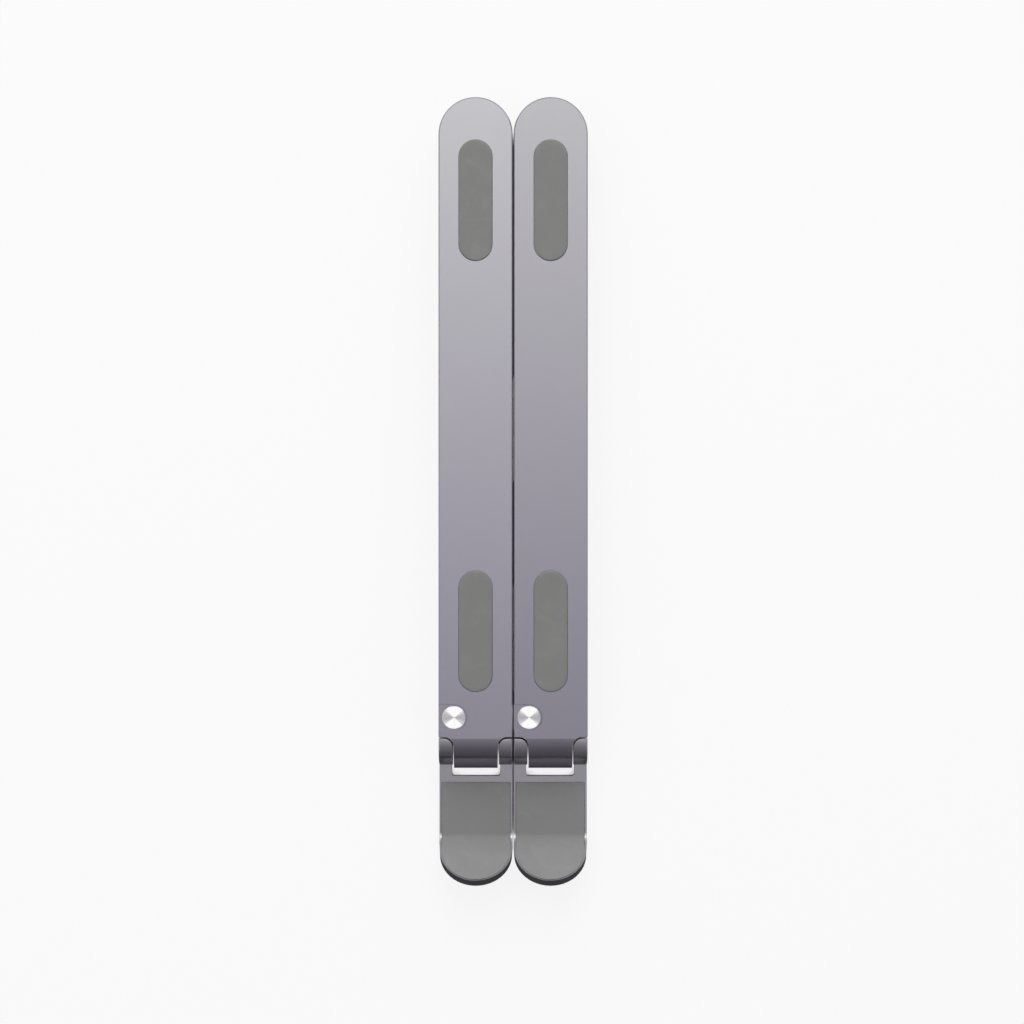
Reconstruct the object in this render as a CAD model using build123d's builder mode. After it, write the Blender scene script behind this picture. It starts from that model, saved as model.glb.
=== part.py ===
from build123d import *

from math import acos, asin, cos, degrees, radians, sin

# Foldable laptop stand, folded flat, millimetres.
# Two equal halves lie side by side. Each half is a top rail hinged at its front end to
# a base that carries on forward as a bent-up hook. Two crossed bars under the rails
# spread the halves apart, and a leg under each rail props it up on its base.
# +X is to the right, +Y from the hook to the far end of the rails, +Z up from the floor.

# Rails
rail_width = 22.6
rail_gap = 0.3
rail_reach = 196.4
rail_top = 15.0
rail_thickness = 3.0
rail_edge = 0.3

# Hinge at the front end of each rail
hinge_z = 6.05
knuckle_half_width = 6.7
knuckle_boss = 3.6
knuckle_crease_y = 0.9
knuckle_crease_angle = 6.0
ear_radius = 7.9
ear_rear = 0.77
ear_corner = 2.5
ear_gap = 0.4
ear_rear_gap = 0.6
ear_relief = 0.3
hinge_pin_radius = 1.5
running_clearance = 0.05

# Base, hook and the window that the knuckle turns into
foot_proud = 1.0
base_thickness = 3.1
base_edge = 0.2
window_half_width = 7.45
window_front = 11.65
window_rear = 4.4
window_corner = 0.75
bend_start = 29.3
bend_radius = 4.3
hook_angle = 40.0
hook_length = 13.6
hook_taper = 0.15

# Silicone pads and rubber feet
rail_pad_width = 10.3
rail_pad_length = 37.0
front_pad_y = 33.6
rear_pad_y = 164.9
rail_pad_depth = 0.6
pad_proud = 0.4
pad_edge = 0.3
hook_pad_width = 21.2
hook_pad_start = 13.6
hook_pad_depth = 0.7
hook_pad_proud = 0.3
hook_pad_rim = 0.25
foot_recess = 0.3
front_foot_width = 16.0
front_foot_length = 12.0
front_foot_y = -21.0
front_foot_corner = 3.0
rear_foot_width = 12.0
rear_foot_length = 34.0
rear_foot_y = 172.0

# Crossed bars and their pivots
bar_length = 114.0
bar_width = 6.4
bar_thickness = 1.6
bar_space = 0.5
bar_drop = 1.6
bar_play = 0.1
bar_open_angle = 75.0
rivet_x = -6.55
rivet_y = 7.34
rivet_radius = 1.9
rivet_head_radius = 3.55
rivet_head_height = 0.8
rivet_head_edge = 0.2
recess_radius = 3.95
recess_depth = 1.0
closed_head_radius = 2.8
closed_head_height = 0.7
spacer_radius = 2.6
cross_washer_radius = 3.0
cross_washer_play = 0.05

# Sliding pins and the undercut groove that guides them
slide_stem_radius = 1.2
slide_head_radius = 1.9
slide_head_height = 0.8
slide_collar_radius = 2.0
slide_tail_radius = 2.2
slide_collar_room = 0.3
slide_fit = 0.1
groove_lip = 0.8
groove_end_room = 2.0
groove_entry_room = 6.0
groove_entry_fit = 0.2

# Legs, their lugs and the trough and notches in the base
leg_pivot_y = 105.0
leg_pivot_z = 5.2
leg_tip_y = 191.0
leg_thickness = 2.2
leg_blade_width = 15.0
leg_root_x = 5.6
leg_root_width = 4.1
leg_root_radius = 2.3
leg_shoulder = 3.4
leg_corner = 3.0
leg_rib_width = 5.0
leg_rib_depth = 0.6
leg_rib_inset = 12.0
lug_thickness = 1.5
lug_radius = 2.4
lug_play = 0.15
leg_pin_radius = 1.0
leg_floor_clearance = 0.4
trough_side_room = 1.1
trough_end_room = 2.4
trough_corner = 4.0
lug_pocket_room = 0.7
lug_pocket_corner = 1.0
notch_length = 2.4
notch_depth = 0.7
notch_count = 5
tilt_max = 30.0
leg_ratio = 2.22

# Heights that follow from the sizes above
rail_underside = rail_top - rail_thickness
knuckle_radius = rail_top - hinge_z
base_bottom = foot_proud
base_top = foot_proud + base_thickness
leg_bottom = leg_pivot_z - leg_root_radius
trough_floor = leg_bottom - leg_floor_clearance
upper_bar_top = rail_underside - bar_drop
upper_bar_bottom = upper_bar_top - bar_thickness
lower_bar_top = upper_bar_bottom - bar_space
lower_bar_bottom = lower_bar_top - bar_thickness

# Places along the part that follow from the sizes above
pitch = rail_width + rail_gap
half_width = rail_width / 2
ear_inner = knuckle_half_width + ear_gap
notch_edge = ear_rear + ear_rear_gap
fold_angle = degrees(asin(pitch / bar_length))
slide_folded_y = rivet_y + bar_length * cos(radians(fold_angle))
slide_open_y = rivet_y + bar_length * cos(radians(bar_open_angle))
hook_cos = cos(radians(hook_angle))
hook_sin = sin(radians(hook_angle))
hook_reach = bend_start + (bend_radius + base_thickness) * hook_sin + hook_length * hook_cos
hinge_y = (hook_reach - rail_reach) / 2
side_x = {"left": -pitch / 2, "right": pitch / 2}


def plan(x, z=0.0):
    """Plan view plane of one half, with its origin over the hinge axis."""
    return Plane(origin=(x, hinge_y, z))


def profile(x):
    """Side view plane: its x runs along +Y and its y up, from the hinge axis."""
    return Plane(origin=(x, hinge_y, hinge_z), x_dir=(0, 1, 0), z_dir=(1, 0, 0))


def hook_slope(x):
    """Plane on the sloping top of the hook, with its y running out to the tip."""
    bend_end_y = -bend_start - bend_radius * hook_sin
    bend_end_z = base_top + bend_radius * (1 - hook_cos)
    return Plane(
        origin=(x, hinge_y + bend_end_y, bend_end_z),
        x_dir=(-1, 0, 0),
        z_dir=(0, hook_sin, hook_cos),
    )


def bent_layer(x, start, above, below, width, rim, taper):
    """Layer that follows the base's top over the bend and ends in the round tip.

    The layer runs from start, along Y from the hinge, and lies between the heights
    above and below, measured square to the base's top. Its tip stays rim inside the
    hook's own tip.
    """
    top = base_top - hinge_z
    centre = (-bend_start, top + bend_radius)
    with BuildPart() as layer:
        with BuildSketch(profile(x)):
            with BuildLine():
                upper = CenterArc(centre, bend_radius - above, 270 - hook_angle, hook_angle)
                lower = CenterArc(centre, bend_radius - below, 270 - hook_angle, hook_angle)
                run = (-hook_length * hook_cos, hook_length * hook_sin)
                upper_tip = (upper.start_point().X + run[0], upper.start_point().Y + run[1])
                lower_tip = (lower.start_point().X + run[0], lower.start_point().Y + run[1])
                Polyline(
                    upper.end_point(), (start, top + above), (start, top + below), lower.end_point()
                )
                Polyline(upper.start_point(), upper_tip, lower_tip, lower.start_point())
            make_face()
        extrude(amount=width / 2, both=True)
        # Round the tip, square to the slope
        tip_radius = width / 2 - taper
        shoulder = hook_length - rim - tip_radius
        with BuildSketch(hook_slope(x)):
            with Locations((0, hook_length)):
                Rectangle(2 * width, 2 * hook_length)
            with BuildLine():
                Polyline((-tip_radius, shoulder), (-width / 2, 0), (width / 2, 0), (tip_radius, shoulder))
                ThreePointArc(
                    (tip_radius, shoulder), (0, shoulder + tip_radius), (-tip_radius, shoulder)
                )
            make_face(mode=Mode.SUBTRACT)
        extrude(amount=2 * base_thickness, both=True, mode=Mode.SUBTRACT)
    return layer.part


def rail_outline(x, z, start):
    """Sketch of a rail's straight length, from start, and its full round far end."""
    straight = rail_reach - half_width
    with BuildSketch(plan(x, z)) as outline:
        with Locations((0, start)):
            Rectangle(rail_width, straight - start, align=(Align.CENTER, Align.MIN))
        with Locations((0, straight)):
            Circle(half_width)
    return outline.sketch


def make_rail(side):
    """Top rail: plate, hinge knuckle, rivet recess, pad pockets, groove and leg lugs."""
    x = side_x[side]
    outline = rail_outline(x, rail_underside, knuckle_crease_y)
    with BuildPart() as rail:
        add(outline)
        extrude(amount=rail_thickness)
        # Front end that rolls down from a crease, and the block that the hinge pin runs through
        with BuildSketch(profile(x)):
            with BuildLine():
                corner = acos(knuckle_boss / knuckle_radius)
                touch = 180 + degrees(corner)
                fall = radians(knuckle_crease_angle)
                front = TangentArc(
                    (knuckle_crease_y, knuckle_radius),
                    (-knuckle_radius, 0),
                    tangent=(-cos(fall), -sin(fall)),
                )
                under = CenterArc((0, 0), knuckle_boss, touch, 360 - touch)
                Line(front.end_point(), under.start_point())
                Polyline(under.end_point(), (knuckle_boss, knuckle_radius), front.start_point())
            make_face()
        extrude(amount=half_width, both=True)
        top_edges = rail.faces().sort_by(Axis.Z)[-1].edges()
        chamfer(top_edges.group_by(Axis.Y)[-1], rail_edge)
        # Notches for the ears, with the rounded inner corners
        with BuildSketch(plan(x, hinge_z - knuckle_radius)):
            with BuildLine():
                bend = ear_corner + ear_gap
                inner = knuckle_half_width
                low = -2 * knuckle_radius
                side_line = Line((inner, low), (inner, notch_edge - bend))
                turn = RadiusArc(side_line @ 1, (inner + bend, notch_edge), bend)
                Polyline(turn @ 1, (rail_width, notch_edge), (rail_width, low), (inner, low))
            make_face()
            mirror(about=Plane.YZ)
        extrude(amount=2 * knuckle_radius, mode=Mode.SUBTRACT)
        # Round relief under the top, where the ears turn in
        for sign in (-1, 1):
            with BuildSketch(profile(x + sign * (knuckle_half_width + half_width) / 2)):
                Circle(ear_radius + ear_relief)
            extrude(amount=(half_width - knuckle_half_width) / 2, both=True, mode=Mode.SUBTRACT)
        with BuildSketch(profile(x)):
            Circle(hinge_pin_radius + running_clearance)
        extrude(amount=half_width, both=True, mode=Mode.SUBTRACT)
        # Recess for the rivet head, open to the rail's left edge
        with BuildSketch(plan(x, rail_top - recess_depth)):
            with Locations((rivet_x, rivet_y)):
                Circle(recess_radius)
                Rectangle(rail_width, 2 * recess_radius, align=(Align.MAX, Align.CENTER))
        extrude(amount=2 * recess_depth, mode=Mode.SUBTRACT)
        with BuildSketch(plan(x, rail_underside)):
            with Locations((rivet_x, rivet_y)):
                Circle(rivet_radius)
        extrude(amount=rail_thickness, mode=Mode.SUBTRACT)
        # Pockets for the two silicone pads
        with BuildSketch(plan(x, rail_top - rail_pad_depth)):
            with Locations((0, front_pad_y), (0, rear_pad_y)):
                SlotOverall(rail_pad_length, rail_pad_width, rotation=90)
        extrude(amount=2 * rail_pad_depth, mode=Mode.SUBTRACT)
        # Undercut groove for the sliding pin, with a round entry at its far end
        groove_start = slide_open_y - groove_end_room
        groove_end = slide_folded_y + groove_entry_room
        groove_middle = (groove_start + groove_end) / 2
        with BuildSketch(plan(x, rail_underside)):
            with Locations((rivet_x, groove_middle)):
                SlotCenterToCenter(
                    groove_end - groove_start, 2 * (slide_stem_radius + slide_fit), rotation=90
                )
            with Locations((rivet_x, groove_end)):
                Circle(slide_head_radius + groove_entry_fit)
        extrude(amount=groove_lip, mode=Mode.SUBTRACT)
        with BuildSketch(plan(x, rail_underside + groove_lip)):
            with Locations((rivet_x, groove_middle)):
                SlotCenterToCenter(
                    groove_end - groove_start, 2 * (slide_head_radius + slide_fit), rotation=90
                )
        extrude(amount=slide_head_height + 2 * slide_fit, mode=Mode.SUBTRACT)
        # Two lugs that carry the leg's pin
        lug_offset = leg_root_width / 2 + lug_play + lug_thickness / 2
        for sign in (-1, 1):
            with BuildSketch(profile(x + leg_root_x + sign * lug_offset)):
                with Locations((leg_pivot_y, leg_pivot_z - hinge_z)):
                    Circle(lug_radius)
                    Rectangle(
                        2 * lug_radius,
                        rail_underside - leg_pivot_z,
                        align=(Align.CENTER, Align.MIN),
                    )
                    Circle(leg_pin_radius, mode=Mode.SUBTRACT)
            extrude(amount=lug_thickness / 2, both=True)
    rail.part.label = side + "_rail"
    export_step(rail.part, "parts/" + side + "_rail.step")


def make_base(side):
    """Base: plate, bent-up hook, hinge ears, window, leg trough and notches."""
    x = side_x[side]
    outline = rail_outline(x, base_bottom, 0)
    pad_pocket = bent_layer(
        x,
        -hook_pad_start,
        base_thickness,
        -hook_pad_depth,
        hook_pad_width,
        hook_pad_rim,
        hook_taper,
    )
    hook = bent_layer(x, half_width, 0, -base_thickness, rail_width, 0, hook_taper)
    with BuildPart() as plate:
        add(outline)
        extrude(amount=base_thickness)
        rims = plate.faces().filter_by(Axis.Z).edges()
        chamfer(rims - rims.group_by(Axis.Y)[0], base_edge)
    with BuildPart() as base:
        # Ears with a rounded inner corner at the rear
        with BuildSketch(profile(x + ear_inner)):
            with BuildLine():
                foot = base_bottom - hinge_z
                lean = degrees(acos(ear_rear / ear_radius))
                crown = CenterArc((0, 0), ear_radius, lean, 180 - lean)
                Polyline(
                    crown.end_point(), (-ear_radius, foot), (ear_rear, foot), crown.start_point()
                )
            make_face()
        extrude(amount=half_width - ear_inner)
        upright = base.edges().filter_by(Axis.Z).group_by(Axis.Y)[-1]
        fillet(upright.sort_by(Axis.X)[0], ear_corner)
        crown_edges = base.edges().filter_by(GeomType.CIRCLE).sort_by(Axis.X)
        chamfer(crown_edges[-1], rail_edge)
        mirror(about=Plane(origin=(x, 0, 0), z_dir=(1, 0, 0)))
        add(hook)
        add(plate)
        with BuildSketch(profile(x)):
            Circle(hinge_pin_radius)
        extrude(amount=half_width, both=True, mode=Mode.SUBTRACT)
        # Window under and in front of the knuckle
        with BuildSketch(plan(x, base_bottom)):
            with Locations((0, (window_rear - window_front) / 2)):
                RectangleRounded(
                    2 * window_half_width, window_front + window_rear, window_corner
                )
        extrude(amount=base_thickness, mode=Mode.SUBTRACT)
        add(pad_pocket, mode=Mode.SUBTRACT)
        # Trough that the folded leg lies in
        trough_start = leg_pivot_y
        trough_end = leg_tip_y + trough_end_room
        trough_width = leg_blade_width + 2 * trough_side_room
        with BuildSketch(plan(x, trough_floor)):
            with Locations((0, (trough_start + trough_end) / 2)):
                RectangleRounded(trough_width, trough_end - trough_start, trough_corner)
            lug_span = leg_root_width + 2 * (lug_play + lug_thickness + lug_pocket_room)
            with Locations((leg_root_x, leg_pivot_y)):
                RectangleRounded(
                    lug_span, 2 * (lug_radius + leg_shoulder + lug_pocket_room), lug_pocket_corner
                )
        extrude(amount=base_thickness, mode=Mode.SUBTRACT)
        # Cross notches that hold the leg's tip at each height
        with BuildSketch(plan(x, trough_floor - notch_depth)):
            for level in range(notch_count):
                tilt = tilt_max * (level + 2) / (notch_count + 1)
                swing = radians((leg_ratio - 1) * tilt)
                reach = leg_tip_y - leg_pivot_y
                tip_y = leg_pivot_y * cos(radians(tilt)) + reach * cos(swing)
                with Locations((0, tip_y - leg_thickness / 2)):
                    Rectangle(leg_blade_width, notch_length)
        extrude(amount=notch_depth, mode=Mode.SUBTRACT)
        # Shallow recesses for the rubber feet
        with BuildSketch(plan(x, base_bottom)):
            with Locations((0, front_foot_y)):
                RectangleRounded(front_foot_width, front_foot_length, front_foot_corner)
            with Locations((0, rear_foot_y)):
                SlotOverall(rear_foot_length, rear_foot_width, rotation=90)
        extrude(amount=foot_recess, mode=Mode.SUBTRACT)
    base.part.label = side + "_base"
    export_step(base.part, "parts/" + side + "_base.step")


def make_rail_pads(side):
    """Two stadium-shaped silicone pads let into the top of a rail."""
    x = side_x[side]
    for name, pad_y in (("front", front_pad_y), ("rear", rear_pad_y)):
        with BuildPart() as pad:
            with BuildSketch(plan(x, rail_top - rail_pad_depth)):
                with Locations((0, pad_y)):
                    SlotOverall(rail_pad_length, rail_pad_width, rotation=90)
            extrude(amount=rail_pad_depth + pad_proud)
            chamfer(pad.faces().sort_by(Axis.Z)[-1].edges(), pad_edge)
        pad.part.label = side + "_rail_" + name + "_pad"
        export_step(pad.part, "parts/" + side + "_rail_" + name + "_pad.step")


def make_hook_pad(side):
    """Silicone pad that lines the hook from its flat to its round tip."""
    pad = bent_layer(
        side_x[side],
        -hook_pad_start,
        hook_pad_proud,
        -hook_pad_depth,
        hook_pad_width,
        hook_pad_rim,
        hook_taper,
    )
    pad.label = side + "_hook_pad"
    export_step(pad, "parts/" + side + "_hook_pad.step")


def make_feet(side):
    """Rubber feet under the hook and under the far end of the base."""
    x = side_x[side]
    with BuildPart() as front_foot:
        with BuildSketch(plan(x)):
            with Locations((0, front_foot_y)):
                RectangleRounded(front_foot_width, front_foot_length, front_foot_corner)
        extrude(amount=foot_proud + foot_recess)
        chamfer(front_foot.faces().sort_by(Axis.Z)[0].edges(), pad_edge)
    front_foot.part.label = side + "_front_foot"
    export_step(front_foot.part, "parts/" + side + "_front_foot.step")
    with BuildPart() as rear_foot:
        with BuildSketch(plan(x)):
            with Locations((0, rear_foot_y)):
                SlotOverall(rear_foot_length, rear_foot_width, rotation=90)
        extrude(amount=foot_proud + foot_recess)
        chamfer(rear_foot.faces().sort_by(Axis.Z)[0].edges(), pad_edge)
    rear_foot.part.label = side + "_rear_foot"
    export_step(rear_foot.part, "parts/" + side + "_rear_foot.step")


def make_hinge_pin(side):
    """Plain pin pressed into the ears, on which the knuckle turns."""
    with BuildPart() as pin:
        with BuildSketch(profile(side_x[side])):
            Circle(hinge_pin_radius)
        extrude(amount=half_width, both=True)
        chamfer(pin.faces().filter_by(Axis.X).edges(), rivet_head_edge)
    pin.part.label = side + "_hinge_pin"
    export_step(pin.part, "parts/" + side + "_hinge_pin.step")


def make_leg(side):
    """Leg plate with a narrow root round its pin, a wide blade and a rounded tip."""
    x = side_x[side]
    blade_start = leg_pivot_y + leg_shoulder
    tip_radius = leg_thickness / 2
    with BuildPart() as leg:
        with BuildSketch(profile(x)):
            with Locations(((blade_start + leg_tip_y) / 2, leg_bottom + tip_radius - hinge_z)):
                Rectangle(leg_tip_y - blade_start - leg_thickness, leg_thickness)
            with Locations((leg_tip_y - tip_radius, leg_bottom + tip_radius - hinge_z)):
                Circle(tip_radius)
            with Locations((leg_tip_y - leg_thickness, leg_bottom + tip_radius - hinge_z)):
                Rectangle(leg_thickness, leg_thickness)
            with Locations((blade_start + tip_radius, leg_bottom + tip_radius - hinge_z)):
                Rectangle(leg_thickness, leg_thickness)
        extrude(amount=leg_blade_width / 2, both=True)
        with BuildSketch(plan(x, leg_bottom)):
            with Locations((0, (blade_start + leg_tip_y) / 2)):
                RectangleRounded(leg_blade_width, leg_tip_y - blade_start, leg_corner)
        extrude(amount=leg_thickness, mode=Mode.INTERSECT)
        # Root that reaches back between the lugs to the pin
        with BuildSketch(profile(x + leg_root_x)):
            with Locations((leg_pivot_y, leg_pivot_z - hinge_z)):
                Circle(leg_root_radius)
            with Locations((leg_pivot_y, leg_bottom - hinge_z)):
                Rectangle(leg_shoulder + leg_corner, leg_thickness, align=(Align.MIN, Align.MIN))
        extrude(amount=leg_root_width / 2, both=True)
        with BuildSketch(profile(x + leg_root_x)):
            with Locations((leg_pivot_y, leg_pivot_z - hinge_z)):
                Circle(leg_pin_radius + running_clearance)
        extrude(amount=leg_root_width, both=True, mode=Mode.SUBTRACT)
        # Pressed channel that stiffens the blade
        rib_length = leg_tip_y - blade_start - 2 * leg_rib_inset
        with BuildSketch(plan(x, leg_bottom + leg_thickness - leg_rib_depth)):
            with Locations((0, (blade_start + leg_tip_y) / 2)):
                SlotOverall(rib_length, leg_rib_width, rotation=90)
        extrude(amount=leg_rib_depth, mode=Mode.SUBTRACT)
    leg.part.label = side + "_leg"
    export_step(leg.part, "parts/" + side + "_leg.step")


def make_leg_pin(side):
    """Pin pressed into the two lugs, on which the leg turns."""
    reach = leg_root_width / 2 + lug_play + lug_thickness
    with BuildPart() as pin:
        with BuildSketch(profile(side_x[side] + leg_root_x)):
            with Locations((leg_pivot_y, leg_pivot_z - hinge_z)):
                Circle(leg_pin_radius)
        extrude(amount=reach, both=True)
    pin.part.label = side + "_leg_pin"
    export_step(pin.part, "parts/" + side + "_leg_pin.step")


def make_pivot(side, bar_top):
    """Rivet through the rail's recess, and the spacer that sets its bar's height."""
    x = side_x[side] + rivet_x
    recess_floor = rail_top - recess_depth
    head_top = recess_floor + rivet_head_height
    closed_top = bar_top - bar_thickness - bar_play
    closed_bottom = closed_top - closed_head_height
    with BuildPart() as rivet:
        with BuildSketch(plan(x, closed_bottom)):
            with Locations((0, rivet_y)):
                Circle(closed_head_radius)
        extrude(amount=closed_head_height)
        chamfer(rivet.faces().sort_by(Axis.Z)[0].edges(), rivet_head_edge)
        with BuildSketch(plan(x, closed_bottom)):
            with Locations((0, rivet_y)):
                Circle(rivet_radius)
        extrude(amount=head_top - closed_bottom)
        with BuildSketch(plan(x, recess_floor)):
            with Locations((0, rivet_y)):
                Circle(rivet_head_radius)
        extrude(amount=rivet_head_height)
        chamfer(rivet.faces().sort_by(Axis.Z)[-1].edges(), rivet_head_edge)
    rivet.part.label = side + "_pivot_rivet"
    export_step(rivet.part, "parts/" + side + "_pivot_rivet.step")
    with BuildPart() as spacer:
        with BuildSketch(plan(x, bar_top + bar_play)):
            with Locations((0, rivet_y)):
                Circle(spacer_radius)
                Circle(rivet_radius, mode=Mode.SUBTRACT)
        extrude(amount=rail_underside - bar_top - bar_play)
    spacer.part.label = side + "_pivot_spacer"
    export_step(spacer.part, "parts/" + side + "_pivot_spacer.step")


def bar_plane(side, z):
    """Plane of a bar, from the pivot on the given side towards its sliding end."""
    lean = radians(fold_angle)
    towards = 1 if side == "left" else -1
    return Plane(
        origin=(side_x[side] + rivet_x, hinge_y + rivet_y, z),
        x_dir=(towards * sin(lean), cos(lean), 0),
        z_dir=(0, 0, 1),
    )


def make_bar(name, side, bottom, middle_radius):
    """Flat bar with a pivot hole, a middle hole and the hole of its sliding pin."""
    with BuildPart() as bar:
        with BuildSketch(bar_plane(side, bottom)):
            with Locations((bar_length / 2, 0)):
                SlotCenterToCenter(bar_length, bar_width)
                Circle(middle_radius, mode=Mode.SUBTRACT)
            Circle(rivet_radius + running_clearance, mode=Mode.SUBTRACT)
            with Locations((bar_length, 0)):
                Circle(slide_stem_radius, mode=Mode.SUBTRACT)
        extrude(amount=bar_thickness)
    bar.part.label = name
    export_step(bar.part, "parts/" + name + ".step")


def make_cross_joint():
    """Rivet and washer where the two bars cross."""
    top = upper_bar_top + closed_head_height
    bottom = lower_bar_bottom - bar_play - closed_head_height
    with BuildPart() as rivet:
        for z, height in ((bottom, closed_head_height), (upper_bar_top, closed_head_height)):
            with BuildSketch(bar_plane("left", z)):
                with Locations((bar_length / 2, 0)):
                    Circle(closed_head_radius)
            extrude(amount=height)
        chamfer(rivet.faces().sort_by(Axis.Z)[0].edges(), rivet_head_edge)
        chamfer(rivet.faces().sort_by(Axis.Z)[-1].edges(), rivet_head_edge)
        with BuildSketch(bar_plane("left", bottom)):
            with Locations((bar_length / 2, 0)):
                Circle(rivet_radius)
        extrude(amount=top - bottom)
    rivet.part.label = "cross_rivet"
    export_step(rivet.part, "parts/cross_rivet.step")
    with BuildPart() as washer:
        with BuildSketch(bar_plane("left", lower_bar_top + cross_washer_play)):
            with Locations((bar_length / 2, 0)):
                Circle(cross_washer_radius)
                Circle(rivet_radius, mode=Mode.SUBTRACT)
        extrude(amount=bar_space - cross_washer_play)
    washer.part.label = "cross_washer"
    export_step(washer.part, "parts/cross_washer.step")


def make_slide_pin(name, side, bar_top):
    """Pin at a bar's far end: tail, stem, collar and the head in the rail's groove."""
    head_bottom = rail_underside + groove_lip + slide_fit
    bar_bottom = bar_top - bar_thickness
    tail_bottom = bar_bottom - closed_head_height
    collar_top = rail_underside - slide_collar_room
    steps = (
        (tail_bottom, bar_bottom, slide_tail_radius),
        (tail_bottom, head_bottom, slide_stem_radius),
        (bar_top, collar_top, slide_collar_radius),
        (head_bottom, head_bottom + slide_head_height, slide_head_radius),
    )
    with BuildPart() as pin:
        for low, high, radius in steps:
            with BuildSketch(bar_plane(side, low)):
                with Locations((bar_length, 0)):
                    Circle(radius)
            extrude(amount=high - low)
    pin.part.label = name
    export_step(pin.part, "parts/" + name + ".step")


for half in ("left", "right"):
    make_rail(half)
    make_base(half)
    make_rail_pads(half)
    make_hook_pad(half)
    make_feet(half)
    make_hinge_pin(half)
    make_leg(half)
    make_leg_pin(half)
make_pivot("left", upper_bar_top)
make_pivot("right", lower_bar_top)
make_bar("upper_cross_bar", "left", upper_bar_bottom, rivet_radius)
make_bar("lower_cross_bar", "right", lower_bar_bottom, rivet_radius + running_clearance)
make_cross_joint()
make_slide_pin("upper_slide_pin", "left", upper_bar_top)
make_slide_pin("lower_slide_pin", "right", lower_bar_top)

print("hinge axis at y", round(hinge_y, 3), "z", hinge_z)
print("bars turn", round(bar_open_angle - fold_angle, 3), "degrees from folded to open")
print("rails folded and open, centre to centre", pitch, round(bar_length * sin(radians(bar_open_angle)), 2))
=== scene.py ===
"""Foldable laptop stand, lying folded: its finishes, moulded parts, floor, light and camera."""

import logging
import math
from dataclasses import dataclass
from enum import Enum

import bmesh
import bpy
from mathutils import Matrix, Vector


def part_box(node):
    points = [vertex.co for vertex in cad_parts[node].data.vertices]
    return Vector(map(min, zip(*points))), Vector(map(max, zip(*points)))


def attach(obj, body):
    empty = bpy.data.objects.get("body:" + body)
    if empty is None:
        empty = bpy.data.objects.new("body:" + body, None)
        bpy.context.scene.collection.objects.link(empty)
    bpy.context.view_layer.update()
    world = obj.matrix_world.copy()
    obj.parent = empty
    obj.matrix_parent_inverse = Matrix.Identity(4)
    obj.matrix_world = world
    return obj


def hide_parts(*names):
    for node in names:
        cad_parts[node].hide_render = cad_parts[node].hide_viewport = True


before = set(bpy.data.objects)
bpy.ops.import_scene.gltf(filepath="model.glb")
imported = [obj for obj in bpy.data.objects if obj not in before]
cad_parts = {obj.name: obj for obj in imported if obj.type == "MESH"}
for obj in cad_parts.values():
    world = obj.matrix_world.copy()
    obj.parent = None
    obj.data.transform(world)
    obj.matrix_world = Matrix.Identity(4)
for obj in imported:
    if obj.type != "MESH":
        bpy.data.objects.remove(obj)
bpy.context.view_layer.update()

MM = 0.001
WELD_DISTANCE = 0.001 * MM
CUT_TOLERANCE = 0.0001 * MM
RIM_TURN = math.radians(45.0)
# A Wave texture of scale 1 turns by this many radians in each metre
WAVE_RADIANS = 20.0

log = logging.getLogger("laptop_stand")

Colour = tuple[float, float, float, float]
Place = tuple[float, float, float]
Range = tuple[float, float]
Stop = tuple[float, float]
Socket = bpy.types.NodeSocket


class Side(Enum):
    """The two equal halves of the stand."""

    LEFT = "left"
    RIGHT = "right"


class Slot(Enum):
    """Material slot names: pad silicone, foot rubber and rivet steel."""

    PAD = "pad_silicone"
    FOOT = "foot_rubber"
    RIVET = "rivet_steel"


class Effect(Enum):
    """Shader node groups that more than one finish uses."""

    GRAIN = "fine_grain"
    EDGE = "soft_edge"
    HANDLING = "handling_marks"


# Node helpers


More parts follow.
